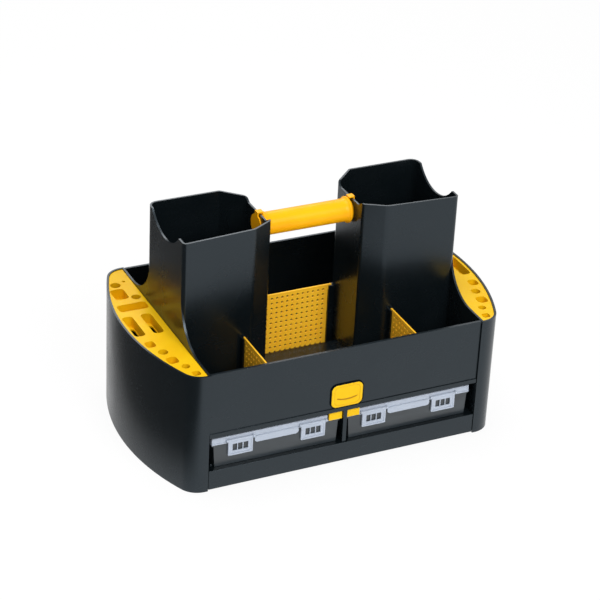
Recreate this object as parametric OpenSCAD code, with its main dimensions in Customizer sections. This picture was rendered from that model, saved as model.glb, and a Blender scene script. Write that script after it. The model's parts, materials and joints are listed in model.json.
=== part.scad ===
// Tool storage caddy: an open tray with two tall tool cups, a grip between them,
// bowed end cheeks that carry tool inserts, perforated dividers, and two lidded
// parts boxes that slide out under the tray. Millimetres, +Z up, X along the length,
// the front faces -Y, and the origin is the centre of the footprint.
// Most pieces come in mirrored pairs: each is drawn on the right and mirrored.

/* [Body] */
// Overall length over the two bowed ends
body_l = 470; // [440:1:500]
// Overall depth, front to back
body_d = 283; // [276:1:300]
// Height of the body's rim
rim_h = 161; // [158:1:175]
// Length of the straight middle, between the two end cheeks
middle_l = 360; // [356:1:372]
// Radius of the four upright corners
corner_r = 26; // [22:1:30]
// Straight run on each cheek before its corner starts
corner_run = 4.5; // [3:0.5:7]
// Thickness of walls, panels and floors
wall = 2.6; // [2.2:0.1:3]
// How far the front and back panels are set back
panel_inset = 2.1; // [1.9:0.1:2.6]
// Height of the strengthened band along the foot of each panel
panel_foot_h = 5.4; // [4:0.2:6]

/* [Base and floors] */
// Height of the base, which is the floor that the boxes slide on
base_h = 27.5; // [24:0.5:30]
// Clearance between the base and the ground: the cheeks stand lower
base_lift = 1.6; // [1:0.1:2.5]
// Height of the ribs under the base's floor
base_rib_h = 5; // [3:0.5:8]
// Height of the tray floor over the boxes
deck_h = 76; // [76:0.5:84]
// Height of the lower tray floor behind the boxes
rear_floor_h = 58.5; // [50:0.5:66]
// Distance from the middle of the depth to the step down in the floor
step_y = 10; // [9:0.5:18]
// Thickness of the upright between the two boxes
mullion_t = 5; // [4:0.5:6]
// Height of the screws that join base, cup and cheek
boss_z = 14; // [10:0.5:16]
// Distance from the middle of the depth to those screws
boss_y = 96; // [86:1:104]

/* [Tool cups] */
// Height of the cup rims
cup_h = 292; // [275:1:310]
// Wall thickness of a cup
cup_wall = 2.4; // [2:0.1:3]
// Distance from the centre to the wall that carries the handle
cup_in_x = 60.8; // [56:0.2:66]
// Front end of that wall
cup_in_y0 = -35; // [-38:1:-30]
// Back end of that wall
cup_in_y1 = 34; // [33:0.5:37]
// Front wall of the cup at its slanted inner corner: x
cup_bend_x = 88; // [82:1:95]
// Front wall of the cup at that corner: y
cup_bend_y = -50.2; // [-54:0.2:-48]
// Front wall of the cup at its outer corner: y
cup_front_y = -56.8; // [-62:0.2:-55]
// Back wall of the cup: y
cup_back_y = 59.5; // [56:0.5:66]
// Distance from the centre to the chamfer on the back wall
cup_back_x = 88; // [84:1:96]
// Depth of the scoop in the outer wall's rim
scoop_depth = 20.5; // [12:0.5:26]
// Width of that scoop
scoop_w = 84; // [70:1:92]
// Depth of the dip in the rim over the handle
dip_depth = 6.2; // [4:0.1:7]
// Length of the slope at each end of that dip
dip_ramp = 12; // [8:1:16]
// How far the side wall sweeps up beside the cup
sweep_rise = 56; // [35:1:70]
// Level run of the side wall before it sweeps up
sweep_run = 32.5; // [10:0.5:40]

/* [Handle] */
// Radius of the grip
grip_r = 14.4; // [13:0.2:16]
// Wall thickness of the grip tube
grip_wall = 3; // [2.6:0.2:4]
// Radius of the grip's end flanges
flange_r = 16.8; // [16.2:0.2:19]
// Thickness of the grip's end flanges
flange_t = 2.4; // [2:0.2:4]
// Radius of the neck between a flange and its cup
neck_r = 13; // [11:0.5:14]
// Length of that neck
neck_t = 3.4; // [2:0.2:5]
// Grip axis: distance behind the middle of the depth
grip_y = -0.5; // [-4:0.5:4]
// Grip axis below the cup rims
grip_drop = 22.7; // [21:0.1:26]
// Length over which the grip flares out to each flange
flare_run = 6; // [4:1:12]
// Width of the clip over each rim
clip_w = 8; // [6:0.5:14]
// Thickness of the plates inside the cups and of the clips
clip_t = 1.8; // [1.6:0.1:2.4]
// Radius of the plates inside the cups
plate_r = 14.4; // [12:0.2:16]

/* [Tool inserts] */
// Depth of an insert, with its pockets
insert_t = 15; // [12:0.5:20]
// How far an insert lies below the rim
insert_drop = 1.2; // [0.6:0.1:2]
// Thickness of an insert's top and pocket walls
insert_wall = 2; // [1.6:0.1:2.4]
// Width of the ledge in the cheek that carries an insert
ledge_w = 3; // [2:0.2:4]

/* [Dividers] */
// Thickness of a perforated divider
divider_t = 2; // [1.6:0.1:2.4]
// Distance between its holes
hole_pitch = 7.1; // [6:0.1:9]
// Diameter of its holes
hole_d = 3.4; // [2.6:0.1:3.8]
// Distance from its edges to the nearest holes
hole_margin = 6.4; // [5:0.2:8]
// Side dividers: distance from the centre
side_divider_x = 100; // [98:1:104]
// Side dividers: height of the top edge
side_divider_top = 150; // [140:1:156]
// Middle divider: distance behind the middle of the depth
mid_divider_y = 29.5; // [28:0.5:29.5]
// Middle divider: height of the top edge
mid_divider_top = 150; // [136:0.5:156]
// Depth of the posts that hold the dividers
rail_depth = 8; // [6:0.5:9]
// Gap between a divider's hook and the wall behind it
hook_gap = 3.4; // [2:0.2:4]
// Wall thickness of those posts
rail_t = 1.8; // [1.4:0.1:2.4]
// Height of the divider's hooks, which rest on the posts
hook_h = 7; // [5:0.5:10]

/* [Parts boxes] */
// Gap between the back of a box and the step in the floor
box_gap = 8; // [6:0.5:16]
// Gap between a box's rim flange and the upright
box_gap_in = 2; // [1.2:0.1:4]
// Gap between its rim flange and the side wall
box_gap_out = 6.1; // [4:0.1:8]
// Height of a box's tray
tray_h = 30.5; // [24:0.5:30.5]
// Height of its lid
lid_h = 9; // [7:0.5:9]
// Wall thickness of tray and lid
box_wall = 1.7; // [1.4:0.1:2]
// How much narrower the tray is at its foot, each side
tray_taper = 2; // [0:0.2:3]
// Distance from the middle of a box to each hinge
hinge_x = 50; // [40:1:60]
// Distance from the middle of a box to each latch
latch_x = 48; // [44:0.5:50]
// Width of a latch
latch_w = 32; // [26:0.5:34]
// Height of a latch below its pivot
latch_h = 20.5; // [16:0.5:24]
// Thickness of a latch
latch_t = 2; // [1.8:0.1:2.2]
// Thickness of the bars between a latch's windows
latch_bar = 1; // [0.8:0.1:1.6]
// Width of the finger lip on the lid
lip_w = 58; // [40:1:58]
// Drop of the finger lip below the lid
lip_drop = 6.5; // [4:0.5:8]

/* [Box catch] */
// Width of the button
button_w = 41.4; // [36:0.2:46]
// Height of the button
button_h = 31; // [28:0.5:32]
// Corner radius of the button
button_r = 7.5; // [4:0.5:9]
// Width of the sunk border round the button
button_gap = 1.2; // [0.8:0.1:2]
// Depth of that border
button_sink = 0.9; // [0.5:0.1:1.2]
// Travel of the catch, upwards
catch_travel = 9; // [6:0.5:9]
// Thickness of the catch bar behind the panel
catch_t = 2.2; // [1.8:0.1:2.6]
// Width over both feet of the catch bar
catch_w = 41; // [34:0.5:41]

/* [Fits] */
// Gap between pieces that are clipped or slid together
fit = 0.4; // [0.3:0.05:0.5]
// Gap under a piece that rests on another
seat = 0.2; // [0.1:0.05:0.3]
// Radial clearance of a latch's pivots
pivot_fit = 0.06; // [0.04:0.01:0.09]

/* [Hidden] */

BLACK = "#2b3034";
YELLOW = "#f6c21c";
SMOKE = "#4a4e54";
CLEAR = "#bcc8d8";
STEEL = "#9da1a5";

eps = 0.01;
// plan of an end: the bow is tangent inside to both corner arcs
corner_x = middle_l / 2 + corner_run;
corner_y = body_d / 2 - corner_r;
corner_over = corner_x - body_l / 2;
bow_r = (pow(corner_r, 2) - pow(corner_over, 2) - pow(corner_y, 2)) / (2 * (corner_over + corner_r));
bow_x = body_l / 2 - bow_r;
bow_angle = atan2(corner_y, corner_x - bow_x);
// side wall between the middle and a cheek
side_in = middle_l / 2;
side_out = side_in + wall;
// panels, front and back, and what lies behind the front one
panel_face = body_d / 2 - panel_inset;
panel_back = panel_face - wall;
panel_foot_z = deck_h - wall;
catch_face = panel_back - seat;
catch_back = catch_face - catch_t;
box_front = catch_back - fit;
box_len = step_y + box_front - box_gap;
box_w = side_in - mullion_t / 2 - box_gap_in - box_gap_out;
box_x = mullion_t / 2 + box_gap_in + box_w / 2;
// what stands proud of a face: bands, beads and borders
band_t = 1.2;
bead_t = 0.8;
bead_h = 2.4;
border_t = 0.6;
// screws and their holes
screw_r = 1.6;
screw_bore = 1.7;
screw_hole = 2.1;
head_r = 4;
head_t = 1.6;
boss_w = 10;
boss_l = 14;
boss_h = 5;
// handle
grip_z = cup_h - grip_drop;
grip_end = 12;
stub_r = 5;
stub_bore = 5.1;
lip_r = 4;
flare_steps = 6;
clip_z = max(grip_z + flange_r, cup_h - dip_depth) + seat;
// inserts
insert_top = rim_h - insert_drop;
insert_foot = insert_top - insert_t;
// dividers
rail_slot = divider_t + 3 * seat;
hook_cover = 1.5;
side_rail_top = side_divider_top - hook_h;
mid_rail_top = mid_divider_top - hook_h;
// boxes
tray_z = base_h + seat;
tray_top = tray_z + tray_h;
lid_z = tray_top + seat;
lid_top = lid_z + lid_h;
margin_top = lid_z + box_wall;
flange_in = 2.2;
lip_t = 1.4;
guide_t = 2.4;
guide_h = 1.8;
guide_end = 5;
guide_gap = 0.6;
// latch pivots, and the ears that carry them
pivot_r = 1;
ear_r = 2.2;
ear_t = 2;
ear_gap = 0.3;
pivot_z = lid_z + ear_r + 1.1;
pivot_y = -box_front - 1.7;
// hinge at the back of a box
pin_r = 1;
pin_bore = 1.05;
knuckle_r = 2.4;
knuckle_l = 10;
outer_knuckle_l = 5.4;
knuckle_gap = 0.3;
hinge_y = box_len - box_front + knuckle_r + fit;
hinge_z = lid_z - seat / 2;
pin_l = knuckle_l + 2 * (outer_knuckle_l + knuckle_gap);
foot_bottom = margin_top + fit;

// ---------- helpers ----------

function unit(v) = v / norm(v);
function left_of(v) = [-v[1], v[0]];

// A closed outline moved inwards by d; its points run anticlockwise
function moved_in(p, d) = [for (i = [0:len(p) - 1])
    let (a = unit(p[i] - p[(i + len(p) - 1) % len(p)]), b = unit(p[(i + 1) % len(p)] - p[i]))
    p[i] + d * (left_of(a) + left_of(b)) / (1 + a * b)];

// The same outline with each corner rounded to its own radius
function rounded(p, r, steps = 6) = [for (i = [0:len(p) - 1])
    let (a = unit(p[i] - p[(i + len(p) - 1) % len(p)]), b = unit(p[(i + 1) % len(p)] - p[i]),
        turn = acos(a * b), run = r[i] * tan(turn / 2), centre = p[i] - run * a + r[i] * left_of(a))
    for (k = [0:steps]) centre + r[i] * (sin(turn * k / steps) * a - cos(turn * k / steps) * left_of(a))];

// A profile of [y, z] points carried along X
module along_x(x0, length) {
    translate([x0, 0, 0]) rotate([90, 0, 90]) linear_extrude(length) children();
}

// A profile of [x, z] points carried along Y
module along_y(y0, length) {
    translate([0, y0 + length, 0]) rotate([90, 0, 0]) linear_extrude(length) children();
}

// A rod along X
module rod_x(x0, x1, y, z, r) {
    translate([x0, y, z]) rotate([0, 90, 0]) cylinder(h = x1 - x0, r = r, $fn = 48);
}

// A block from one corner to the other
module block(low, high) {
    translate(low) cube(high - low);
}

// A rectangle with round corners, centred
module round_rect(size, r) {
    square([size[0] - 2 * r, size[1]], center = true);
    square([size[0], size[1] - 2 * r], center = true);
    for (x = [-1, 1], y = [-1, 1])
        translate([x * (size[0] / 2 - r), y * (size[1] / 2 - r)]) circle(r = r, $fn = 48);
}

// The left twin of a right-hand piece
module left() {
    mirror([1, 0, 0]) children();
}

// ---------- body ----------

// Plan of the right-hand end, moved inwards by inset
module end_plan(inset = 0) {
    reach = 2 * bow_r;
    translate([0, inset - body_d / 2]) square([corner_x, body_d - 2 * inset]);
    for (s = [-1, 1]) translate([corner_x, s * corner_y]) circle(r = corner_r - inset, $fn = 96);
    intersection() {
        translate([bow_x, 0]) circle(r = bow_r - inset, $fn = 360);
        translate([bow_x, 0]) polygon([[0, 0], reach * [cos(bow_angle), -sin(bow_angle)], [reach, 0],
            reach * [cos(bow_angle), sin(bow_angle)]]);
    }
}

// The part of that plan beyond x
module end_beyond(x, inset = 0) {
    intersection() {
        end_plan(inset);
        translate([x, -body_d]) square([body_l, 2 * body_d]);
    }
}

module right_cheek() color(BLACK) {
    difference() {
        linear_extrude(rim_h) end_beyond(side_in + fit);
        translate([0, 0, wall]) linear_extrude(rim_h) end_beyond(0, wall);
        block([0, -body_d / 2 + wall, -eps], [side_out + fit, body_d / 2 - wall, rim_h + eps]);
    }
    // ledge under the tool insert
    translate([0, 0, insert_foot - seat - ledge_w]) linear_extrude(ledge_w) difference() {
        end_beyond(side_out + fit, wall - eps);
        end_plan(wall + ledge_w);
    }
    // bosses for the screws that join base, cup and cheek
    for (s = [-1, 1]) difference() {
        block([side_out + fit, s * boss_y - boss_w / 2, wall - eps],
            [side_out + fit + boss_l, s * boss_y + boss_w / 2, boss_z + boss_h]);
        rod_x(side_out, side_out + fit + boss_l - wall, s * boss_y, boss_z, screw_bore);
    }
}

module base_frame() color(BLACK) {
    width = side_in - fit;
    rail_y = body_d / 2 - fit;
    floor_z = base_h - wall;
    difference() {
        block([-width, -rail_y, base_lift], [width, rail_y, base_h]);
        block([wall - width, wall - rail_y, base_lift - eps], [width - wall, rail_y - wall, floor_z]);
        for (x = [-1, 1], y = [-1, 1])
            rod_x(x * width - 2 * wall, x * width + 2 * wall, y * boss_y, boss_z, screw_hole);
    }
    // ribs under the floor
    for (x = [-1, 0, 1]) translate([x * width / 2, 0, 0])
        block([-wall / 2, eps - rail_y, floor_z - base_rib_h], [wall / 2, rail_y - eps, floor_z + eps]);
    block([eps - width, -wall / 2, floor_z - base_rib_h], [width - eps, wall / 2, floor_z + eps]);
    // guide strips that keep each box straight
    for (s = [-1, 1], t = [-1, 1])
        translate([s * box_x + t * (tray_half(tray_z) + guide_gap + guide_t / 2), 0, 0])
            block([-guide_t / 2, guide_end - box_front, base_h - eps],
                [guide_t / 2, box_len - box_front - guide_end, base_h + guide_h]);
}

// A pan-headed screw along +Z, its head's seat at the origin
module screw(length, head_r, head_t, r) {
    slot_w = head_r / 4;
    slot_l = 1.1 * head_r;
    translate([0, 0, -head_t]) difference() {
        cylinder(h = head_t, r = head_r, $fn = 48);
        for (a = [0, 90]) rotate([0, 0, a])
            block([-slot_l / 2, -slot_w / 2, -eps], [slot_l / 2, slot_w / 2, head_t / 2]);
    }
    cylinder(h = length, r = r, $fn = 32);
}

module cheek_screws() color(STEEL) {
    for (s = [-1, 1], y = [-1, 1]) translate([s * (side_in - fit - wall), y * boss_y, boss_z])
        rotate([0, s * 90, 0]) screw(boss_l, head_r, head_t, screw_r);
}

// A post that a divider's hook rests on, with a rib either side of the hook.
// It stands out along -Y from the wall at y = 0, and starts back inside that wall.
module hook_post(top, foot) {
    half = rail_slot / 2 + rail_t;
    back = cup_wall / 2;
    block([-half, -rail_depth, foot], [half, back, top]);
    for (s = [0, 1]) mirror([s, 0, 0])
        block([rail_slot / 2, -rail_depth, foot], [half, back, top + hook_h - hook_cover]);
}

module front_panel() color(BLACK) {
    width = side_in - fit;
    difference() {
        union() {
            block([-width, -panel_face, panel_foot_z], [width, -panel_back, rim_h]);
            // band along the foot, and bead along the rim
            block([-width, -panel_face - band_t, panel_foot_z],
                [width, -panel_face + eps, panel_foot_z + panel_foot_h]);
            block([-width, -panel_face - bead_t, rim_h - bead_h], [width, -panel_face + eps, rim_h]);
            // posts for the side dividers, on the inside
            for (s = [-1, 1]) translate([s * side_divider_x, -panel_back, 0]) rotate([0, 0, 180])
                hook_post(side_rail_top, deck_h);
        }
        // slot for the catch's stem, and the sunk border round its button
        block([-stem_w / 2 - fit, -body_d / 2, stem_z - seat],
            [stem_w / 2 + fit, -panel_back + eps, stem_z + stem_w + catch_travel + seat]);
        along_y(-body_d / 2, body_d / 2 - panel_face + button_sink) translate([0, button_z + button_h / 2])
            round_rect([button_w, button_h] + 2 * [button_gap, button_gap], button_r + button_gap);
    }
}

module back_panel() color(BLACK) {
    width = side_in - fit;
    block([-width, panel_back, base_h], [width, panel_face, rim_h]);
    block([-width, panel_face - eps, rim_h - bead_h], [width, panel_face + bead_t, rim_h]);
    block([-width, panel_face - eps, base_h], [width, panel_face + band_t, base_h + panel_foot_h]);
}

module tray_floor() color(BLACK) {
    notch = catch_w / 2 + 3 * fit;
    difference() {
        block([-side_in, -panel_back, deck_h - wall], [side_in, step_y + wall, deck_h]);
        block([-notch, -panel_back - eps, 0], [notch, -catch_back + fit, deck_h + eps]);
    }
    block([-side_in, step_y, rear_floor_h - wall], [side_in, step_y + wall, deck_h - eps]);
    block([-side_in, step_y, rear_floor_h - wall], [side_in, panel_back, rear_floor_h]);
    // legs that carry the lower floor on the base
    for (x = [-side_in + wall, -side_in / 2, 0, side_in / 2, side_in - wall])
        block([x - wall / 2, step_y, base_h], [x + wall / 2, panel_back, rear_floor_h - wall + eps]);
}

module box_mullion() color(BLACK) {
    block([-mullion_t / 2, -panel_face, base_h], [mullion_t / 2, step_y, deck_h - wall]);
}

// ---------- cups ----------

cup_corners = [[cup_in_x, cup_in_y0], [cup_bend_x, cup_bend_y], [side_out, cup_front_y],
    [side_out, cup_back_y], [cup_back_x, cup_back_y], [cup_in_x, cup_in_y1]];
cup_radii = [5, 18, 5, 12, 6, 5];

module cup_plan(inset) {
    polygon(rounded(moved_in(cup_corners, inset), [for (r = cup_radii) r - inset]));
}

// Side of the body: level at the rim, swept up to the cup at the front and the back
module side_profile() {
    end_y = body_d / 2 - wall - seat;
    level_y = end_y - sweep_run;
    steps = 18;
    function sweep(s, cup_y) = [for (i = [0:steps])
        let (a = 90 * i / steps)
        [s * level_y + (cup_y - s * level_y) * sin(a), rim_h + sweep_rise * (1 - cos(a))]];
    front = sweep(-1, cup_front_y + cup_radii[2]);
    back = sweep(1, cup_back_y - cup_radii[3]);
    polygon(concat([[-end_y, rim_h]], front, [for (i = [steps:-1:0]) back[i]], [[end_y, rim_h],
        [end_y, base_lift], [-end_y, base_lift]]));
}

module right_cup() color(BLACK) {
    scoop_y = (cup_front_y + cup_back_y) / 2;
    scoop_r = (pow(scoop_w / 2, 2) + pow(scoop_depth, 2)) / (2 * scoop_depth);
    difference() {
        union() {
            along_x(side_in, wall) side_profile();
            translate([0, 0, deck_h]) linear_extrude(cup_h - deck_h) cup_plan(0);
            // the part behind the step in the floor reaches down to the lower floor
            translate([0, 0, rear_floor_h]) linear_extrude(deck_h - rear_floor_h + eps) intersection() {
                cup_plan(0);
                translate([0, step_y + wall + seat]) square([body_l, body_d]);
            }
            // posts for the side divider and the middle divider
            translate([side_divider_x, rail_face_y, 0]) hook_post(side_rail_top, deck_h);
            translate([cup_in_x, mid_divider_y, 0]) rotate([0, 0, -90]) hook_post(mid_rail_top, rear_floor_h);
        }
        translate([0, 0, deck_h + wall]) linear_extrude(cup_h) cup_plan(cup_wall);
        translate([0, 0, rear_floor_h - eps]) linear_extrude(deck_h - rear_floor_h) intersection() {
            cup_plan(cup_wall);
            translate([0, step_y + wall + seat + cup_wall]) square([body_l, body_d]);
        }
        // shallow dip in the rim over the handle
        along_x(cup_in_x - cup_wall / 2, 2 * cup_wall) dip_profile();
        // scoop in the rim of the outer wall
        rod_x(cup_bend_x, side_out + wall, scoop_y, cup_h - scoop_depth + scoop_r, scoop_r);
        // hole for the handle clip's stub, and holes for the cheek screws
        rod_x(cup_in_x - cup_wall, cup_in_x + 2 * cup_wall, grip_y, grip_z, stub_r + fit);
        for (s = [-1, 1]) rod_x(side_in - wall, side_out + wall, s * boss_y, boss_z, screw_hole);
    }
}

// The dip runs from corner to corner of the wall that carries the handle
module dip_profile() {
    steps = 8;
    function slope(y, s) = [for (i = [0:steps])
        [y + s * dip_ramp * i / steps, cup_h - dip_depth * (1 - cos(180 * i / steps)) / 2]];
    front = slope(cup_in_y0 + cup_wall / 2, 1);
    back = slope(cup_in_y1 + 2 * cup_wall, -1);
    polygon(concat(front, [for (i = [steps:-1:0]) back[i]],
        [back[0] + [0, dip_depth], front[0] + [0, dip_depth]]));
}

// Where the slanted front wall of the cup crosses the side divider
rail_face_y = cup_bend_y
    + (cup_front_y - cup_bend_y) * (side_divider_x - cup_bend_x) / (side_out - cup_bend_x);

// ---------- handle ----------

module handle_grip() color(YELLOW) {
    flange_x = cup_in_x - neck_t;
    difference() {
        for (s = [0, 1]) mirror([s, 0, 0]) translate([0, grip_y, grip_z]) rotate([0, 90, 0])
            rotate_extrude($fn = 96) polygon(concat([[0, -eps], [grip_r, -eps]], [for (i = [0:flare_steps])
                let (a = 90 * i / flare_steps)
                [flange_r - (flange_r - grip_r) * cos(a), flange_x - flange_t - flare_run * (1 - sin(a))]],
                [[flange_r, flange_x], [neck_r, cup_in_x], [0, cup_in_x]]));
        rod_x(grip_end - cup_in_x, cup_in_x - grip_end, grip_y, grip_z, grip_r - grip_wall);
        rod_x(-cup_in_x - wall, cup_in_x + wall, grip_y, grip_z, stub_bore);
    }
}

// Plate inside the cup, with a stub through the cup's wall into the grip
module right_handle_clip() color(YELLOW) {
    inner = cup_in_x + cup_wall + seat;
    rod_x(inner, inner + clip_t, grip_y, grip_z, plate_r);
    rod_x(cup_in_x + wall - grip_end, inner + eps, grip_y, grip_z, stub_r);
    // strap up the inside of the cup and over its rim to the grip's flange
    for (strap = [[inner, inner + clip_t, grip_z], [cup_in_x - neck_t, inner + eps, clip_z]])
        block([strap[0], grip_y - clip_w / 2, strap[2]], [strap[1], grip_y + clip_w / 2, clip_z + clip_t]);
}

// ---------- tool inserts ----------

// Openings of the right-hand insert. Each has a place, whose x counts from the side wall,
// a size and a corner radius. Slots are open below, save for a ledge at the back.
insert_slots = [[[39.3, -0.5], [13.8, 49], 5], [[15.3, -0.5], [13.4, 49], 5]];
// Pockets have a floor
insert_pockets = [[[26.9, 79.5], [18, 26], 5], [[22.7, 45], [38, 17], 5], [[36.4, -47], [12, 14], 4],
    [[25.2, -90], [13.5, 15], 4.5], [[10.4, -127], [10, 10], 3]];
// Round holes go right through, each with a place and a radius
insert_holes = [[[23.4, 102.5], 6.5], [[9.9, 66.6], 6], [[28.4, -68.5], 6], [[15.8, -108], 5],
    [[10.4, 108.5], 2.2]];
slot_ledge = 8;
slot_lip = 0.8;

module in_end(place) {
    translate([side_out + place[0], place[1]]) children();
}

module insert_openings(grow) {
    for (s = concat(insert_slots, insert_pockets))
        in_end(s[0]) round_rect(s[1] + 2 * [grow, grow], s[2] + grow);
    for (h = insert_holes) in_end(h[0]) circle(r = h[1] + grow, $fn = 48);
}

// What goes right through the insert's floor
module insert_through() {
    for (s = insert_slots) in_end(s[0] - [0, slot_ledge / 2])
        round_rect(s[1] - [2 * slot_lip, slot_ledge + 2 * slot_lip], s[2] - slot_lip);
    for (h = insert_holes) in_end(h[0]) circle(r = h[1], $fn = 48);
}

module right_insert() color(YELLOW) {
    gap = wall + fit;
    difference() {
        translate([0, 0, insert_foot]) linear_extrude(insert_t) end_beyond(side_out + fit, gap);
        // hollow underside, between the outer skirt and the pocket walls
        translate([0, 0, insert_foot - eps]) linear_extrude(insert_t - insert_wall) difference() {
            end_beyond(side_out + fit + insert_wall, gap + insert_wall);
            insert_openings(insert_wall);
        }
        translate([0, 0, insert_foot + insert_wall]) linear_extrude(insert_t) insert_openings(0);
        translate([0, 0, insert_foot - eps]) linear_extrude(insert_t) insert_through();
    }
}

// ---------- dividers ----------

// A perforated plate in the XZ plane between two walls, with hooks at its upper corners
module divider(wall0, wall1, foot, top) {
    low_x = wall0 + rail_depth + fit;
    high_x = wall1 - rail_depth - fit;
    n_x = floor((high_x - low_x - hole_margin) / hole_pitch);
    n_z = floor((top - foot - 2 * hole_margin) / hole_pitch);
    along_y(-divider_t / 2, divider_t) difference() {
        union() {
            translate([low_x, foot]) square([high_x - low_x, top - foot]);
            translate([wall0 + hook_gap, top - hook_h + seat])
                square([wall1 - wall0 - 2 * hook_gap, hook_h - seat]);
        }
        for (i = [0:n_x], k = [0:n_z])
            translate([(low_x + high_x) / 2 + (i - n_x / 2) * hole_pitch, top - hole_margin - k * hole_pitch])
                circle(d = hole_d, $fn = 24);
    }
}

module mid_divider() color(YELLOW) {
    translate([0, mid_divider_y, 0]) divider(-cup_in_x, cup_in_x, rear_floor_h + seat, mid_divider_top);
}

module right_divider() color(YELLOW) {
    translate([side_divider_x, 0, 0]) rotate([0, 0, 90])
        divider(-panel_back, rail_face_y, deck_h + seat, side_divider_top);
}

// ---------- catch ----------

stem_w = 12;
button_z = panel_foot_z + panel_foot_h + button_gap;
stem_z = button_z + (button_h - stem_w) / 2;
button_border = 2.5;
ridge_h = 2.6;
bar_edge = 4;

module catch_button() color(YELLOW) {
    face = body_d / 2 - seat / 2;
    centre_z = button_z + button_h / 2;
    bed = face - border_t;
    along_y(-bed, bed - panel_face - seat / 2)
        translate([0, centre_z]) round_rect([button_w, button_h], button_r);
    // raised border and the ridge that a thumb pushes on
    along_y(-face, face - bed + eps) translate([0, centre_z]) difference() {
        round_rect([button_w, button_h], button_r);
        round_rect([button_w, button_h] - 2 * [button_border, button_border], button_r - button_border);
    }
    along_y(-face, face - bed + eps) translate([0, centre_z - button_h / 8])
        round_rect([button_w - 5 * button_border, ridge_h], ridge_h / 2 - seat / 2);
    // stem through the panel into the bar
    block([-stem_w / 2, -bed, stem_z], [stem_w / 2, -catch_back, stem_z + stem_w]);
}

module catch_bar() color(YELLOW) {
    play = seat / 2;
    gap = mullion_t / 2 + guide_gap;
    difference() {
        union() {
            block([-catch_w / 2, -catch_face, foot_bottom],
                [catch_w / 2, -catch_back, panel_foot_z + 2 * bar_edge]);
            block([-stem_w / 2 - bar_edge, -catch_face, foot_bottom],
                [stem_w / 2 + bar_edge, -catch_back, stem_z + stem_w + bar_edge]);
        }
        block([-gap, -catch_face - eps, 0], [gap, -catch_back + eps, panel_foot_z + bar_edge / 4]);
        block([-stem_w / 2 - play, -catch_face - eps, stem_z - play],
            [stem_w / 2 + play, -catch_back + eps, stem_z + stem_w + play]);
    }
}

// ---------- parts boxes ----------

// Places a box piece: drawn around x = 0 with the mullion to its left
module in_right_bay() {
    translate([box_x, 0, 0]) children();
}

function tray_half(z) = box_w / 2 - flange_in - tray_taper * (tray_top - z) / tray_h;

module tray() color(SMOKE) {
    y0 = -box_front;
    y1 = y0 + box_len;
    inside_z = tray_z + box_wall;
    snap_z = pivot_z - latch_h + latch_t;
    difference() {
        union() {
            along_y(y0, box_len) polygon([[-tray_half(tray_z), tray_z], [tray_half(tray_z), tray_z],
                [tray_half(tray_top), tray_top], [-tray_half(tray_top), tray_top]]);
            block([-box_w / 2, y0, tray_top - box_wall], [box_w / 2, y1, tray_top]);
            // ridges that the latches snap over
            for (s = [-1, 1]) block([s * latch_x - latch_w / 5, y0 - fit, snap_z],
                [s * latch_x + latch_w / 5, y0 + eps, snap_z + box_wall]);
            // hinge knuckles
            for (s = [-1, 1]) translate([s * hinge_x, 0, 0]) {
                rod_x(-knuckle_l / 2, knuckle_l / 2, hinge_y, hinge_z, knuckle_r);
                block([-knuckle_l / 2, y1 - eps, hinge_z - 2 * knuckle_r],
                    [knuckle_l / 2, hinge_y, hinge_z - pin_r]);
            }
        }
        along_y(y0 + box_wall, box_len - 2 * box_wall) polygon([
            [box_wall - tray_half(inside_z), inside_z], [tray_half(inside_z) - box_wall, inside_z],
            [tray_half(tray_top) - box_wall, tray_top + 1], [box_wall - tray_half(tray_top), tray_top + 1]]);
        for (s = [-1, 1]) rod_x(s * hinge_x - knuckle_l, s * hinge_x + knuckle_l, hinge_y, hinge_z, pin_bore);
    }
}

// Lid with a low margin beside the mullion, which passes under the catch's feet
module lid() color(CLEAR, 0.6) {
    y0 = -box_front;
    y1 = y0 + box_len;
    low = -box_w / 2;
    step = catch_w / 2 + 3 * fit - box_x;
    half = outer_knuckle_l / 2;
    difference() {
        union() {
            block([step, y0, lid_z], [box_w / 2, y1, lid_top]);
            block([low, y0, lid_z], [step + eps, y1, margin_top]);
            // rim along the foot
            block([step, y0 - border_t, lid_z], [box_w / 2, y0 + eps, lid_z + box_wall]);
        }
        block([step + box_wall, y0 + box_wall, lid_z - eps],
            [box_w / 2 - box_wall, y1 - box_wall, lid_top - box_wall]);
    }
    // finger lip, which hangs clear of the tray
    along_y(y0 - lip_t, lip_t - seat) translate([0, lid_z + (ear_r - lip_drop) / 2])
        round_rect([lip_w, lip_drop + ear_r], lip_r);
    block([-lip_w / 2 + lip_r, y0 - lip_t, lid_z], [lip_w / 2 - lip_r, y0 + eps, lid_z + ear_r - eps]);
    // ears that carry the latches
    for (s = [-1, 1], t = [-1, 1])
        translate([s * latch_x + t * (latch_w / 2 + ear_gap + ear_t / 2), 0, 0]) difference() {
            union() {
                rod_x(-ear_t / 2, ear_t / 2, pivot_y, pivot_z, ear_r);
                block([-ear_t / 2, pivot_y, pivot_z - ear_r], [ear_t / 2, y0 + eps, pivot_z + ear_r]);
            }
            rod_x(-ear_t, ear_t, pivot_y, pivot_z, pivot_r + pivot_fit);
        }
    // hinge knuckles, either side of the tray's
    for (s = [-1, 1], t = [-1, 1])
        translate([s * hinge_x + t * (knuckle_l / 2 + knuckle_gap + half), 0, 0]) difference() {
            union() {
                rod_x(-half, half, hinge_y, hinge_z, knuckle_r);
                block([-half, y1 - eps, hinge_z + pin_r], [half, hinge_y, hinge_z + knuckle_r]);
                block([-half, y1 - box_wall, lid_z], [half, y1 + eps, hinge_z + knuckle_r]);
            }
            rod_x(-2 * half, 2 * half, hinge_y, hinge_z, pin_bore);
            block([-2 * half, y1 - knuckle_l, 0], [2 * half, y1 + seat, lid_z - eps]);
        }
}

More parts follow.
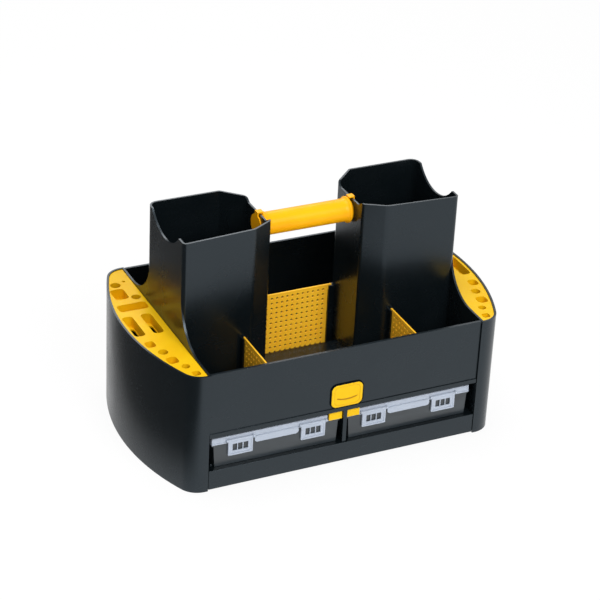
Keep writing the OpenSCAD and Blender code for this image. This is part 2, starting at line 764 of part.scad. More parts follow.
module lid_pin_set() color(STEEL) {
    for (s = [-1, 1]) rod_x(s * hinge_x - pin_l / 2, s * hinge_x + pin_l / 2, hinge_y, hinge_z, pin_r);
}

// Latch: a bordered frame that hangs from two pivots, with three windows between thin bars
module latch(x) color(CLEAR, 0.6) {
    half = latch_w / 2;
    face_y = pivot_y - latch_t / 2;
    window = [latch_w * 0.64, latch_h * 0.48];
    middle_z = pivot_z - latch_h / 2;
    hub_r = pivot_r + border_t - seat / 2;
    translate([x, 0, 0]) {
        rod_x(-half, half, pivot_y, pivot_z, hub_r);
        rod_x(-half - ear_gap - ear_t, half + ear_gap + ear_t, pivot_y, pivot_z, pivot_r);
        along_y(face_y + border_t, latch_t - border_t) difference() {
            translate([0, middle_z]) round_rect([latch_w, latch_h], border_t);
            translate([0, middle_z]) square(window, center = true);
        }
        // border round the face, and the bars set back between the windows
        along_y(face_y, border_t + eps) translate([0, middle_z]) difference() {
            round_rect([latch_w, latch_h], border_t);
            round_rect([latch_w, latch_h] - 4 * [latch_bar, latch_bar], border_t);
        }
        for (i = [-1, 1]) translate([i * (window[0] + latch_bar) / 6, 0, 0])
            block([-latch_bar / 2, pivot_y, middle_z - latch_h / 4],
                [latch_bar / 2, pivot_y + latch_t / 2, middle_z + latch_h / 4]);
        // thumb edge along the foot
        along_x(latch_t - half, latch_w - 2 * latch_t) polygon([[face_y - border_t, pivot_z - latch_h + seat],
            [pivot_y, pivot_z - latch_h + seat], [pivot_y, pivot_z - latch_h + latch_t],
            [face_y - border_t, pivot_z - latch_h + latch_t]]);
    }
}

// ---------- the caddy ----------

base_frame();
cheek_screws();
left() right_cheek();  // left_cheek
right_cheek();
front_panel();
back_panel();
tray_floor();
box_mullion();
left() right_cup();  // left_cup
right_cup();
left() right_insert();  // left_insert
right_insert();
handle_grip();
left() right_handle_clip();  // left_handle_clip
right_handle_clip();
mid_divider();
left() right_divider();  // left_divider
right_divider();
catch_button();
catch_bar();
left() in_right_bay() tray();  // left_tray
left() in_right_bay() lid();  // left_lid
left() in_right_bay() lid_pin_set();  // left_lid_pins
in_right_bay() tray();  // right_tray
in_right_bay() lid();  // right_lid
in_right_bay() lid_pin_set();  // right_lid_pins
left() in_right_bay() latch(latch_x);  // left_outer_latch
left() in_right_bay() latch(-latch_x);  // left_inner_latch
in_right_bay() latch(-latch_x);  // right_inner_latch
in_right_bay() latch(latch_x);  // right_outer_latch
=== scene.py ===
# %% [markdown]
# # A tool caddy in moulded plastic
#
# The construction is already there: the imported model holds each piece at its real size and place.
# This lesson dresses it. It softens the edges as a mould does, works out the catch button as a
# surface of two parameters, and builds each finish from nodes.

# %% Load the frame
import json
import bpy
import numpy as np
from mathutils import Matrix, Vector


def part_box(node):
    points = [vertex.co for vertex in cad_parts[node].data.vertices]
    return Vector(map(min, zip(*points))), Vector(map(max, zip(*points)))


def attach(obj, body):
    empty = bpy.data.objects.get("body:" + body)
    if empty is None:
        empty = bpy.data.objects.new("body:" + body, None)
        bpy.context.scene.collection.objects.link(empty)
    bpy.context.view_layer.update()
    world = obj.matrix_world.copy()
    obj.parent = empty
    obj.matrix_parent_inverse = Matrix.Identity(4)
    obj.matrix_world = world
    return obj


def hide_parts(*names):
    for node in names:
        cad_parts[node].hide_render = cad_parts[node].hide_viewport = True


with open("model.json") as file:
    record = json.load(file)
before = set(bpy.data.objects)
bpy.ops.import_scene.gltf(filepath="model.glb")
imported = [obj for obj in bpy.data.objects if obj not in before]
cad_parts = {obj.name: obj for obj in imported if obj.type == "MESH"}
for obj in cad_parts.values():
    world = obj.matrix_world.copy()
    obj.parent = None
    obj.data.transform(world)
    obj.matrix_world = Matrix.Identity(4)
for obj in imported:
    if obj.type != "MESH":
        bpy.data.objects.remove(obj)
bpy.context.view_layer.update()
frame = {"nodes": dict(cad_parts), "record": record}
nodes = frame["nodes"]
MM = 0.001
print("pieces in the frame:", len(nodes))

# %% [markdown]
# ## The camera
#
# A product shot is taken with a long lens from well away, so that upright edges stay nearly
# parallel. The camera could be turned by hand until it looks right. Here it is told where it looks,
# from which side and how far off, and its three axes follow from those angles, so the view can be
# changed by one number at a time. A small roll makes it lean, as a hand-set tripod does.

# %% Camera
LENS = 133.65  # focal length in millimetres on a 36 mm sensor
DISTANCE = 2.7208
FAR_LIMIT = 50.0
AIM = np.array([-0.01934, -0.03864, 0.17676])
YAW, PITCH, ROLL = np.radians([26.448, 29.258, 2.916])


def camera_axes(yaw, pitch, roll):
    """Right, up and forward. Forward turns right by yaw and down by pitch, and roll turns the
    other two about it."""
    forward = np.array([np.sin(yaw) * np.cos(pitch), np.cos(yaw) * np.cos(pitch), -np.sin(pitch)])
    level = np.array([np.cos(yaw), -np.sin(yaw), 0.0])
    upright = np.cross(level, forward)
    right = np.cos(roll) * level + np.sin(roll) * upright
    up = -np.sin(roll) * level + np.cos(roll) * upright
    return right, up, forward


def stand(thing, right, up, back, place):
    """Links an object and gives it three axes and a place."""
    turn = Matrix([right, up, back]).transposed().to_4x4()
    thing.matrix_world = Matrix.Translation(place) @ turn
    bpy.context.scene.collection.objects.link(thing)


def place_camera():
    """Stands the camera at its distance from the aim and makes it the scene's camera."""
    right, up, forward = camera_axes(YAW, PITCH, ROLL)
    data = bpy.data.cameras.new("camera")
    data.lens = LENS
    data.clip_end = FAR_LIMIT
    camera = bpy.data.objects.new("camera", data)
    stand(camera, right, up, -forward, AIM - DISTANCE * forward)
    bpy.context.scene.camera = camera


place_camera()
print("camera stands", DISTANCE, "m from", AIM)

# %% [markdown]
# ## Shader maths as Python
#
# A finish is a small formula over the surface. It could be wired by hand in the shader editor, node
# by node, but a formula is easier to read and to change. `Wire` wraps one output socket, so that
# the usual signs add Math nodes. `Graph` wraps a node tree, and its `node` method makes any other
# node. `Finish` is the graph of a material with a Principled shader.


# %% Wires and finishes
class Wire:
    """One socket of a node tree. Arithmetic on it adds Math nodes, and a number may stand on
    either side."""

    def __init__(self, graph, socket):
        self.graph = graph
        self.socket = socket

    def math(self, operation, *values, clamp=False):
        """The result of one Math node."""
        settings = {"operation": operation, "use_clamp": clamp}
        return self.graph.node("ShaderNodeMath", settings, values)

    def __add__(self, other):
        return self.math("ADD", self, other)

    def __sub__(self, other):
        return self.math("SUBTRACT", self, other)

    def __rsub__(self, other):
        return self.math("SUBTRACT", other, self)

    def __mul__(self, other):
        return self.math("MULTIPLY", self, other)

    __radd__ = __add__
    __rmul__ = __mul__

    def over(self, low, high):
        """0 below low, 1 above high, and a straight climb between them."""
        return self.math("MULTIPLY", self - low, 1.0 / (high - low), clamp=True)

    def either(self, other):
        """The larger of two."""
        return self.math("MAXIMUM", self, other)


class Graph:
    """A node tree of a material or a world, with a method that makes any node in it."""

    def __init__(self, owner):
        owner.use_nodes = True
        self.tree = owner.node_tree

    def node(self, kind, settings=None, inputs=(), out=0):
        """Makes a node. Its settings are set first, then its inputs, given in order or by name."""
        made = self.tree.nodes.new(kind)
        for key, value in (settings or {}).items():
            setattr(made, key, value)
        pairs = inputs.items() if isinstance(inputs, dict) else enumerate(inputs)
        for key, value in pairs:
            if isinstance(value, Wire):
                self.tree.links.new(value.socket, made.inputs[key])
            else:
                made.inputs[key].default_value = value
        return Wire(self, made.outputs[out])

    def ray(self, kind):
        """1 for a ray of that kind, such as Camera or Glossy."""
        return self.node("ShaderNodeLightPath", out=f"Is {kind} Ray")

    def mix(self, factor, first, second):
        """The colour between first and second by factor."""
        inputs = {0: factor, 6: first, 7: second}
        return self.node("ShaderNodeMix", {"data_type": "RGBA"}, inputs, out=2)


class Finish(Graph):
    """A material, its Principled shader, and the Object coordinates that its patterns read."""

    def __init__(self, name, constants):
        self.material = bpy.data.materials.new(name)
        super().__init__(self.material)
        self.shader = self.tree.nodes["Principled BSDF"]
        for socket, value in constants.items():
            self.shader.inputs[socket].default_value = value
        self.place = self.node("ShaderNodeTexCoord", out="Object")

    def noise(self, size, detail=2.0, seed=0.0, stretch=(1.0, 1.0, 1.0)):
        """Noise whose lumps are about size metres across, stretched along the axes."""
        scale = tuple(1.0 / (size * s) for s in stretch)
        inputs = {"Vector": self.place, "Scale": scale, "Location": (seed,) * 3}
        at = self.node("ShaderNodeMapping", None, inputs)
        return self.node("ShaderNodeTexNoise", None, {"Vector": at, "Scale": 1.0, "Detail": detail})

    def along(self, axis):
        """The Object coordinate along X, Y or Z, in metres."""
        return self.node("ShaderNodeSeparateXYZ", None, (self.place,), out=axis)

    def bump(self, height, distance):
        """Bends the normal by height, which runs from 0 to 1, times distance in metres."""
        inputs = {"Height": height, "Distance": distance, "Strength": 1.0}
        self.feed("Normal", self.node("ShaderNodeBump", None, inputs))

    def feed(self, socket, wire):
        """Links a wire to one socket of the Principled shader."""
        self.tree.links.new(wire.socket, self.shader.inputs[socket])


def grey(value):
    """A neutral colour."""
    return (value, value, value, 1.0)


FINISHES = {}
print("a finish is made with", *[maker.__name__ for maker in (Wire, Graph, Finish)])

# %% [markdown]
# ## Black plastics
#
# The body is black polypropylene with a fine spark-eroded grain. An image of scratches could be
# laid over it, but noise on Object coordinates needs no unwrapping and has no seam. The grain is
# fine noise in the bump. Roughness drifts slowly where hands have polished it, and the foot of the
# body is scuffed a little paler, because that is what meets the bench. The sheen is tinted slightly
# blue in the material, a painted cool light, while the lamps are white. A matt black sheet round
# the catch mirrors next to nothing, so it draws a dark line: painted shade for a gap round it.

# %% Black plastics
BLACK_DEEP = (0.0030, 0.0050, 0.0062, 1.0)
BLACK_WORN = (0.0060, 0.0085, 0.0100, 1.0)
# painted cool light: a blue tint on the black's mirror, while the lamps and the world are white
PAINTED_COOL_SHEEN = (0.74, 0.88, 1.00, 1.0)
SCUFFED_HEIGHT = 0.040
BODY_GRAIN_DEPTH = 0.00002


def black_body():
    """Wear is scratches, more of them near the foot, plus a slow cloud. It pales and roughens."""
    constants = {"IOR": 1.49, "Specular IOR Level": 0.60, "Specular Tint": PAINTED_COOL_SHEEN}
    finish = Finish("black_body", constants)
    cloud = finish.noise(0.060, detail=3.0, seed=1.0)
    grain = finish.noise(0.00035, detail=2.0, seed=5.0)
    scratch = finish.noise(0.004, detail=3.0, seed=9.0, stretch=(14.0, 1.0, 1.0))
    foot = 1.0 - finish.along("Z").over(0.0, SCUFFED_HEIGHT)
    wear = scratch.over(0.58, 0.72) * (0.15 + 0.45 * foot) + cloud.over(0.35, 0.75) * 0.4
    finish.feed("Base Color", finish.mix(wear, BLACK_DEEP, BLACK_WORN))
    finish.feed("Roughness", 0.20 + 0.10 * cloud + 0.08 * wear)
    finish.bump(grain, BODY_GRAIN_DEPTH)
    return finish.material


def painted_shade_black():
    """The body's two blacks in small spots, rough and hardly mirroring: painted shade round the catch.
    """
    finish = Finish("painted_shade_black", {"Specular IOR Level": 0.02})
    cloud = finish.noise(0.004, detail=2.0, seed=2.0)
    finish.feed("Base Color", finish.mix(cloud, BLACK_DEEP, BLACK_WORN))
    finish.feed("Roughness", 0.7 + 0.2 * cloud)
    return finish.material


FINISHES["black_body"] = black_body()
FINISHES["painted_shade_black"] = painted_shade_black()
print("finishes:", *FINISHES)

# %% [markdown]
# ## Yellow plastics
#
# Inserts and the catch are one yellow with the same grain. It is a little deeper where the melt
# flowed slowly, so a large soft noise leans the colour towards orange. The dividers are thin
# plates of a warmer yellow, also painted brighter for light they lack between the cups, and the
# grip is a smoother and warmer one still. The three differ in numbers only, so one function makes
# them all. A piece may carry an attribute of painted shade, which darkens its grooves as their
# shadow would. On a piece without one it reads as 0.

# %% Yellow plastics
# painted shade: the colour that grooves and the line inside the catch's border darken to
YELLOW_PAINTED_SHADE = (0.28, 0.120, 0.001, 1.0)  # where crease is 1
YELLOWS = {  # pale and deep colour, roughness, depth of the grain in metres
    "yellow_trim": ((0.80, 0.500, 0.005, 1.0), (0.78, 0.430, 0.002, 1.0), 0.36, 0.00003),
    # painted light: the dividers' yellow is warmer, and also painted brighter for light they lack
    "yellow_plate": ((1.00, 0.560, 0.032, 1.0), (1.00, 0.500, 0.022, 1.0), 0.40, 0.00002),
    "yellow_grip": ((0.93, 0.450, 0.004, 1.0), (0.90, 0.370, 0.002, 1.0), 0.28, 0.00001),
}


def yellow_plastic(name, pale, deep, roughness, grain_depth):
    """The colour goes from pale to deep by 0.7 of the flow and 0.3 of the soil, and soil roughens."""
    finish = Finish(name, {"IOR": 1.49, "Specular IOR Level": 0.16})
    flow = finish.noise(0.035, detail=2.0, seed=3.0)
    grain = finish.noise(0.0004, detail=2.0, seed=7.0)
    soil = finish.noise(0.006, detail=4.0, seed=11.0)
    moulded = finish.mix(flow.over(0.3, 0.7) * 0.7 + soil * 0.3, pale, deep)
    # painted shade read from a piece's attribute: it darkens grooves as their shadow would
    painted_shade = finish.node("ShaderNodeAttribute", {"attribute_name": "painted_shade"}, out="Fac")
    finish.feed("Base Color", finish.mix(painted_shade, moulded, YELLOW_PAINTED_SHADE))
    finish.feed("Roughness", roughness + 0.12 * soil)
    finish.bump(grain, grain_depth)
    return finish.material


for name, numbers in YELLOWS.items():
    FINISHES[name] = yellow_plastic(name, *numbers)
print("finishes:", *FINISHES)

# %% [markdown]
# ## Parts boxes
#
# The trays are smoky and nearly opaque, so they are a glossy dark plastic with faint flow lines.
# The lids and latches are clear but frosted inside. Transmission would bend the light as the real
# plastic does, but it is slow and noisy in thin walls. Alpha lets about a third of what is behind
# them through instead, and the pale base colour is the frosting that catches the light.

# %% Smoke and clear plastics
SMOKE_THIN = (0.022, 0.030, 0.036, 1.0)
SMOKE_THICK = (0.014, 0.020, 0.025, 1.0)
SMOKE_FLOW_DEPTH = 0.00006
FROST = (0.56, 0.62, 0.72, 1.0)
FROST_CLEAR = (0.47, 0.53, 0.63, 1.0)
FROST_DEPTH = 0.00004


def smoke_tray():
    """Streaks of flow thin the colour, and with dust they roughen and dent it."""
    finish = Finish("smoke_tray", {"IOR": 1.58, "Coat Weight": 0.3, "Coat Roughness": 0.12})
    flow = finish.noise(0.012, detail=3.0, seed=2.0, stretch=(4.0, 4.0, 1.0))
    dust = finish.noise(0.0012, detail=2.0, seed=4.0)
    finish.feed("Base Color", finish.mix(flow.over(0.35, 0.65), SMOKE_THICK, SMOKE_THIN))
    finish.feed("Roughness", 0.26 + 0.14 * flow + 0.06 * dust)
    finish.bump(flow * 0.8 + dust * 0.2, SMOKE_FLOW_DEPTH)
    return finish.material


def clear_lid():
    """A slow cloud makes the frosting paler and denser, and a fine grain roughens it."""
    finish = Finish("clear_lid", {"IOR": 1.50, "Specular IOR Level": 0.6})
    frost = finish.noise(0.0008, detail=2.0, seed=6.0)
    cloud = finish.noise(0.060, detail=2.0, seed=8.0)
    finish.feed("Base Color", finish.mix(cloud, FROST_CLEAR, FROST))
    finish.feed("Roughness", 0.22 + 0.16 * frost)
    finish.feed("Alpha", 0.66 + 0.08 * cloud)
    finish.bump(frost, FROST_DEPTH)
    return finish.material


FINISHES["smoke_tray"] = smoke_tray()
FINISHES["clear_lid"] = clear_lid()
print("finishes:", *FINISHES)

# %% [markdown]
# ## Screws and pins
#
# Zinc-plated steel is a metal, so its colour is the colour of its mirror. Fine lines and a slightly
# uneven plating keep it from looking like chrome. Little of it shows, so noise is enough.

# %% Steel
ZINC_BRIGHT = (0.62, 0.62, 0.63, 1.0)
ZINC_DULL = (0.42, 0.42, 0.44, 1.0)
STEEL_LINE_DEPTH = 0.00001


def steel_screw():
    """Where the plating is thick it is brighter and rougher."""
    finish = Finish("steel_screw", {"Metallic": 1.0})
    plating = finish.noise(0.0025, detail=3.0, seed=1.5)
    lines = finish.noise(0.0003, detail=1.0, seed=2.5, stretch=(1.0, 1.0, 6.0))
    finish.feed("Base Color", finish.mix(plating, ZINC_DULL, ZINC_BRIGHT))
    finish.feed("Roughness", 0.28 + 0.18 * plating)
    finish.bump(lines, STEEL_LINE_DEPTH)
    return finish.material


FINISHES["steel_screw"] = steel_screw()
print("finishes:", *FINISHES)

# %% [markdown]
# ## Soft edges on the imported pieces
#
# A mould never leaves a knife edge. The edges could be rounded in the construction, but that makes
# it slow, and here the radius is quickly changed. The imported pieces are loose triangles, so Weld
# joins them first, Bevel rounds each edge that turns sharply, and Weighted Normal keeps the broad
# faces flat in the light. The radius is about 0.4 mm on walls, more on the inserts and the
# handle's clips, and less on small pieces.

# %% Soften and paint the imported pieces
EDGE = {  # radius in millimetres by a word in the name, where the first word found counts
    "screws": 0.10, "pins": 0.10, "divider": 0.02, "latch": 0.22, "lid": 0.28,
    "tray": 0.35, "catch": 0.40, "insert": 0.80, "clip": 0.90, "grip": 0.40,
}
WALL_EDGE = 0.38
WELD_DISTANCE = 0.00001
EDGE_TURN = np.radians(32)
BEVEL_SEGMENTS = 2
SLOT_OF = {part["node"]: part["material_slot"] for part in frame["record"]["subparts"]}
# the dividers take the plate yellow, which is painted brighter for light they lack between the cups
FINISH_OF = SLOT_OF | {name: "yellow_plate" for name in nodes if name.endswith("_divider")}


def edge_radius(name):
    """The radius in millimetres for a piece, by a word in its name."""
    found = [radius for word, radius in EDGE.items() if word in name]
    return found[0] if found else WALL_EDGE


def soften(piece, radius):
    """Weld, then Bevel by a radius in millimetres, then Weighted Normal."""
    weld = piece.modifiers.new("weld", "WELD")
    weld.merge_threshold = WELD_DISTANCE
    bevel = piece.modifiers.new("bevel", "BEVEL")
    bevel.width = radius * MM
    bevel.segments = BEVEL_SEGMENTS
    bevel.limit_method = "ANGLE"
    bevel.angle_limit = EDGE_TURN
    bevel.miter_outer = "MITER_ARC"
    shade = piece.modifiers.new("shade", "WEIGHTED_NORMAL")
    shade.keep_sharp = False


for name, piece in nodes.items():
    soften(piece, edge_radius(name))
    piece.data.materials.clear()
    piece.data.materials.append(FINISHES[FINISH_OF[name]])
print("softened", len(nodes), "packed pieces")

# %% [markdown]
# ## The outline of the catch button
#
# The button is a shallow pillow on the front panel: a rounded rectangle whose edge rolls over. It
# could be sculpted, or cut from a box and bevelled. Here it is worked out: one outline is carried
# inwards as rings, and a formula says how deep each point lies. So the outline comes first. Its
# points are evenly spaced, because a groove that crosses a long thin face would be lost.

# %% Outline and sheets
ARC_POINTS = 16
OUTLINE_SPANS = 160


def sheet(name, rows, material, closed=False, tip=None):
    """Quads through rows of points, an array with two indices and three coordinates. Where it is
    closed, the last column joins the first. A tip closes the last row with a fan of triangles."""
    height, width = rows.shape[:2]
    points = rows.reshape(-1, 3)
    index = np.arange(height * width).reshape(height, width)
    if closed:
        index = np.concatenate([index, index[:, :1]], axis=1)
    quads = np.stack([index[:-1, :-1], index[:-1, 1:], index[1:, 1:], index[1:, :-1]], axis=-1)
    faces = quads.reshape(-1, 4).tolist()
    if tip is not None:
        last = index[-1]
        fan = np.stack([last[:-1], last[1:], np.full(len(last) - 1, len(points))], axis=-1)
        faces += fan.tolist()
        points = np.concatenate([points, tip[None]])
    mesh = bpy.data.meshes.new(name)
    mesh.from_pydata(points.tolist(), [], faces)
    mesh.materials.append(material)
    piece = bpy.data.objects.new(name, mesh)
    bpy.context.scene.collection.objects.link(piece)
    return piece


def round_outline(half_w, half_h, corner):
    """Evenly spaced points round a rectangle with rounded corners. Each corner is an arc, and
    straight sides join the arcs. The way along them is divided into equal spans."""
    quarter = np.linspace(0.0, np.pi / 2, ARC_POINTS)
    arcs = []
    for turn, (sx, sz) in enumerate([(1, 1), (-1, 1), (-1, -1), (1, -1)]):
        angle = quarter + turn * np.pi / 2
        centre = np.array([sx * (half_w - corner), sz * (half_h - corner)])
        arcs.append(centre + corner * np.stack([np.cos(angle), np.sin(angle)], axis=-1))
    bends = np.concatenate(arcs + [arcs[0][:1]])
    way = np.concatenate([[0.0], np.cumsum(np.linalg.norm(np.diff(bends, axis=0), axis=1))])
    stops = np.linspace(0.0, way[-1], OUTLINE_SPANS, endpoint=False)
    return np.stack([np.interp(stops, way, bends[:, axis]) for axis in (0, 1)], axis=-1)


button_low, button_high = (np.array(corner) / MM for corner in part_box("catch_button"))
PANEL_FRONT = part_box("front_panel")[0][1] / MM
BUTTON_FRONT = button_low[1]
BUTTON_HALF_W = (button_high[0] - button_low[0]) / 2
BUTTON_HALF_H = 15.5
BUTTON_CORNER = 7.5
BUTTON_Z = button_high[2] - BUTTON_HALF_H
print("the button stands", round(float(PANEL_FRONT - BUTTON_FRONT), 3), "mm off the panel")

# %% [markdown]
# ## The face of the catch button
#
# The face has a raised border, a flat field and a smile-shaped ledge for the thumb. Each is a depth
# below the front, and the depths are added up. The button stands less than a millimetre off the
# panel, so the sum is cut off at the skirt's depth, and the relief is too low to cast a shadow that
# reads from afar. So the same formula also gives an attribute of painted shade, which darkens the
# groove and the line inside the border.

# %% Catch button
BUTTON_ROLL, ROLL_RINGS = 1.2, 6  # radius in millimetres of the rolled edge, and its rings
FIELD_RINGS = 60
LAST_RING = 0.01  # how far the last ring stays from the centre
SKIRT_GAP = 0.15  # from the skirt's edge to the panel
BORDER_WIDTH, BORDER_RISE = 2.8, 0.4
BORDER_OUT, BORDER_IN = BORDER_WIDTH - 0.5, BORDER_WIDTH + 0.3  # where the step down starts and ends
# painted shadow line where the border meets the field: its strength and its width
BORDER_SHADE, BORDER_SHADE_WIDTH = 0.35, 0.4  # of the line where the border meets the field
LEDGE_Z, LEDGE_SAG, LEDGE_SPAN = -3.2, 2.3, 13.8
LEDGE_FADES, LEDGE_ENDS = LEDGE_SPAN - 1.5, LEDGE_SPAN + 1.0  # where it starts to fade, and is gone
LEDGE_RISE, LEDGE_WIDTH = 0.35, 2.2
GROOVE_DEPTH, GROOVE_WIDTH = 0.8, 1.0


def step_up(x, low, high):
    """0 below low, 1 above high and 3 t^2 - 2 t^3 between them, where t is the share of the way."""
    t = np.clip((x - low) / (high - low), 0.0, 1.0)
    return t * t * (3.0 - 2.0 * t)


def ledge(x, z):
    """Depth and shade of the thumb ledge. Let d be the height over z = z0 + sag ((x / span)^2 - 1).
    The groove is exp(-(d / width)^2) of its depth, and above it the field swells by rise exp(-d / w)."""
    d = z - LEDGE_Z - LEDGE_SAG * ((x / LEDGE_SPAN) ** 2 - 1.0)
    ends = 1.0 - step_up(np.abs(x), LEDGE_FADES, LEDGE_ENDS)
    groove = ends * np.exp(-((d / GROOVE_WIDTH) ** 2))
    swell = ends * LEDGE_RISE * np.exp(-np.abs(d) / LEDGE_WIDTH) * (d > 0)
    return GROOVE_DEPTH * groove - swell, groove


def button_rings():
    """How far in each ring lies, and how deep. The first is the skirt's edge. Over the roll, by an
    angle a, they are r (1 - cos a) and r (1 - sin a), and from there on the depth is 0."""
    angle = np.linspace(0.0, np.pi / 2, ROLL_RINGS)
    field = np.linspace(BUTTON_ROLL, BUTTON_HALF_H - LAST_RING, FIELD_RINGS)[1:]
    skirt = PANEL_FRONT - BUTTON_FRONT - SKIRT_GAP
    inset = np.concatenate([[0.0], BUTTON_ROLL * (1 - np.cos(angle)), field])
    depth = np.concatenate([[skirt], BUTTON_ROLL * (1 - np.sin(angle)), np.zeros_like(field)])
    return inset[:, None], depth[:, None], skirt


def catch_button():
    """Each ring is the outline times 1 - inset / half height. A point's depth is its ring's, plus the
    step down inside the border, plus the ledge there, and it is cut off at the skirt's depth. The
    painted shade is the groove, or the shadow line exp(-((inset - border) / width)^2) where that
    is more."""
    inset, depth, skirt = button_rings()
    outline = round_outline(BUTTON_HALF_W, BUTTON_HALF_H, BUTTON_CORNER)
    share = 1.0 - inset / BUTTON_HALF_H
    x, z = share * outline[:, 0], share * outline[:, 1]
    sunk = BORDER_RISE * step_up(inset, BORDER_OUT, BORDER_IN)
    dip, groove = ledge(x, z)
    y = BUTTON_FRONT + np.clip(depth + sunk + dip * (sunk > 0), 0.0, skirt)
    seam = BORDER_SHADE * np.exp(-(((inset - BORDER_WIDTH) / BORDER_SHADE_WIDTH) ** 2))
    shade = np.maximum(groove * (sunk > 0), seam)
    points = np.stack([x, y, z + BUTTON_Z], axis=-1) * MM
    tip = points[-1].mean(axis=0)
    piece = sheet("catch_button_face", points, FINISHES["yellow_trim"], closed=True, tip=tip)
    piece.data.shade_smooth()
    # the painted shade of the groove and the border line, stored on each point
    painted_shade = piece.data.attributes.new("painted_shade", "FLOAT", "POINT")
    painted_shade.data.foreach_set("value", np.append(shade, shade[-1].mean()).astype(np.float32))
    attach(piece, "catch")
    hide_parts("catch_button")
    return piece


button = catch_button()
print("catch button:", len(button.data.polygons), "faces")

# %% [markdown]
# ## The painted shadow round the catch button
#
# A dark line frames the button, the shadow of a narrow gap round it. It could be painted on the
# panel as colour, but a low matt black sheet keeps its form from every side, so the painted shade
# stands there as a sheet. It reuses the button's outline, a little larger, and its inner edge lies
# under the button. The button's skirt ends just above it, so the button slides over it.

# %% Catch shadow ring
SHADOW_RING_WIDTH, SHADOW_RING_RISE = 1.5, 0.10  # how far it reaches round the button and off the panel
SHADOW_RING_TUCK, SHADOW_RING_ROOT = 1.0, 0.5  # how far it reaches under the button and into the panel


def catch_shadow_ring():
    """Painted shade as a sheet: four outlines, out of the panel, across and back into it."""
    profile = [(SHADOW_RING_WIDTH, SHADOW_RING_ROOT), (SHADOW_RING_WIDTH, -SHADOW_RING_RISE), (-SHADOW_RING_TUCK, -SHADOW_RING_RISE),
               (-SHADOW_RING_TUCK, SHADOW_RING_ROOT)]
    rows = []
    for reach, back in profile:
        x, z = round_outline(BUTTON_HALF_W + reach, BUTTON_HALF_H + reach, BUTTON_CORNER + reach).T
        rows.append(np.stack([x, np.full_like(x, PANEL_FRONT + back), z + BUTTON_Z], axis=-1))
    piece = sheet("catch_shadow_ring", np.array(rows) * MM, FINISHES["painted_shade_black"], closed=True)
    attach(piece, "root")
    return piece


# a matt black sheet that stands in for the shadow gap round the button: painted shade
shadow_ring = catch_shadow_ring()
print("catch bezel:", len(shadow_ring.data.polygons), "faces")

# %% [markdown]
# ## The floor
#
# The caddy stands on white paper that keeps a soft shadow. A very bright lamp could burn the paper
# out to white, but it would burn the caddy's colours too. So the floor shows a white of its own to
# the camera and through clear plastic, mixed with a little of the lit paper. A glossy black wall
# shows mostly what it mirrors. So the paper is white in reflections, but beyond the left end it is
# painted dark grey in reflections only, a painted dark reflection that gives the bowed end its
# dark side.

# %% Floor
FLOOR_HALF = 3.0
FLOOR_DROP = 0.0004  # below the caddy's feet
FLOOR_WHITE = 0.90
PAPER_DULL, PAPER_BRIGHT = 0.88, 0.92
# painted dark reflection: between these x the floor's reflection turns dark grey, in reflections only
DARK_MIRROR_EDGE = (-0.30, -0.20)
DARK_MIRROR_GREY = 0.10
MIRRORED_PAPER = 1.0


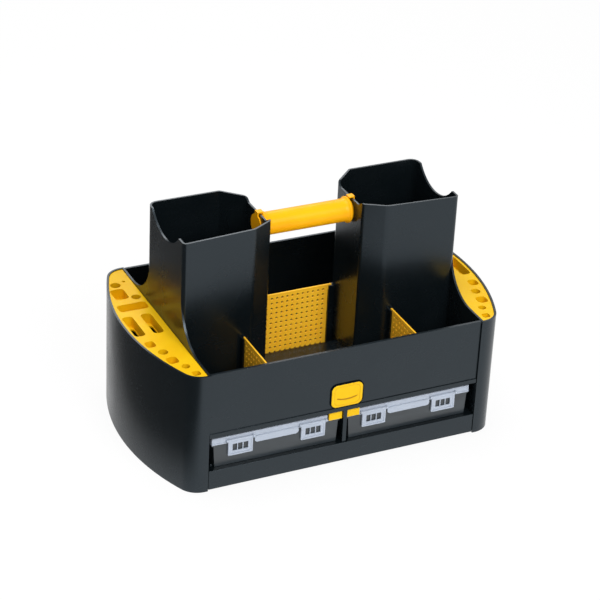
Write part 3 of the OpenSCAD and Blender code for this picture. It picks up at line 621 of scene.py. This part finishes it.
def floor_material():
    """Paper that is lit and takes the shadow, mixed with a glow. The glow is most of it for the camera
    and clear plastic, and all of it in reflections, where it turns dark grey beyond the left end as a
    painted dark reflection."""
    finish = Finish("floor", {"Roughness": 0.7, "Specular IOR Level": 0.1})
    speck = finish.noise(0.003, detail=2.0, seed=1.0)
    finish.feed("Base Color", finish.mix(speck, grey(PAPER_DULL), grey(PAPER_BRIGHT)))
    mirrored = finish.ray("Glossy")
    # painted dark reflection beyond the left end
    beyond = finish.along("X").over(*DARK_MIRROR_EDGE)
    mirror_grey = finish.mix(beyond, grey(DARK_MIRROR_GREY), grey(MIRRORED_PAPER))
    colour = finish.mix(mirrored, grey(1.0), mirror_grey)
    bright = finish.node("ShaderNodeEmission", None, {"Color": colour, "Strength": 1.0})
    white = finish.ray("Camera").either(finish.ray("Transmission")) * FLOOR_WHITE
    lit = Wire(finish, finish.shader.outputs[0])
    mixed = finish.node("ShaderNodeMixShader", None, {0: white + mirrored, 1: lit, 2: bright})
    finish.tree.links.new(mixed.socket, finish.tree.nodes["Material Output"].inputs["Surface"])
    return finish.material


across = np.linspace(-FLOOR_HALF, FLOOR_HALF, 3)
floor_rows = np.stack(np.meshgrid(across, across) + [np.full((3, 3), -FLOOR_DROP)], axis=-1)
floor = sheet("floor", floor_rows, floor_material())
print("floor:", 2 * FLOOR_HALF, "m wide")

# %% [markdown]
# ## World and lamps
#
# A white studio can be a picture of one wrapped round the scene, or a plain colour and a few lamps,
# which are easier to steer. The world is white to the camera, dimmer in reflections and dimmer
# still as light. Four soft lamps, two in front, one above and one behind, make the gradients that
# show the form of black plastic.

# %% World and lamps
SKY_LIGHT = 0.32
SKY_MIRRORED = 0.70
SOFTBOXES = {  # place in metres, side in metres, power in watts
    "key": ((0.25, -2.10, 1.90), 1.2, 46.0),
    "front": ((-0.80, -2.00, 1.45), 1.0, 13.0),
    "top": ((-0.4, 0.4, 2.6), 1.6, 36.0),
    "back": ((0.6, 2.0, 2.0), 1.4, 16.0),
}


def white_world():
    """White at strength 1 for what is seen, and less for reflections and for what lights the caddy."""
    world = bpy.data.worlds.new("world")
    bpy.context.scene.world = world
    graph = Graph(world)
    seen = graph.ray("Camera").either(graph.ray("Transmission"))
    strength = (graph.ray("Glossy") * SKY_MIRRORED).either(SKY_LIGHT).either(seen)
    background = graph.tree.nodes["Background"].inputs
    background["Color"].default_value = grey(1.0)
    graph.tree.links.new(strength.socket, background["Strength"])


def softbox(name, place, size, power):
    """A square lamp at place that faces the caddy."""
    data = bpy.data.lights.new(name, "AREA")
    data.size = size
    data.energy = power
    away = np.array(place) - AIM
    away = away / np.linalg.norm(away)
    side = np.cross([0.0, 0.0, 1.0], away)
    side = side / np.linalg.norm(side)
    stand(bpy.data.objects.new(name, data), side, np.cross(away, side), away, place)


white_world()
for name, numbers in SOFTBOXES.items():
    softbox(name, *numbers)
bpy.context.scene.view_settings.view_transform = "Standard"
print("softboxes:", *SOFTBOXES)
